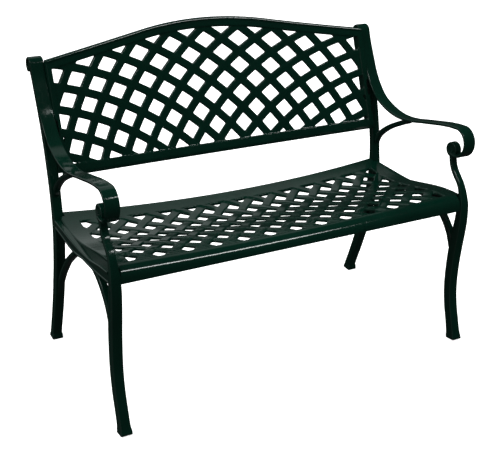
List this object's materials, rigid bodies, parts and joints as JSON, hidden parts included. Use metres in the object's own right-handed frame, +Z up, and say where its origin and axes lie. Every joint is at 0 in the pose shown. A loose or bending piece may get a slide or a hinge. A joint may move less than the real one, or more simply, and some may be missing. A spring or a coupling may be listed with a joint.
{
  "type": "garden bench",
  "caption": "Cast garden bench with scrolled armrests, a dished woven-lattice seat and a curved arched lattice back.",
  "frame": {"origin": "on the floor, under the middle of the whole bench", "axes": "+Z up, +Y towards the back of the bench, +X towards the viewer's right when facing it"},
  "size_m": [1.0406, 0.6287, 0.8601],
  "materials": {
    "powder_coat": "gloss dark green powder coat on cast aluminium",
    "fastener": "plain zinc-plated steel"
  },
  "bodies": {
    "root": {"left_rear_leg": "powder_coat", "right_rear_leg": "powder_coat", "left_front_leg": "powder_coat", "right_front_leg": "powder_coat", "left_seat_rail": "powder_coat", "right_seat_rail": "powder_coat", "left_arm_strap": "powder_coat", "right_arm_strap": "powder_coat", "left_arm_brace": "powder_coat", "right_arm_brace": "powder_coat", "left_rear_brace": "powder_coat", "right_rear_brace": "powder_coat", "left_front_brace": "powder_coat", "right_front_brace": "powder_coat", "seat_panel": "powder_coat", "back_panel": "powder_coat", "post_bolts": "fastener", "seat_bolts": "fastener"}
  },
  "joints": []
}
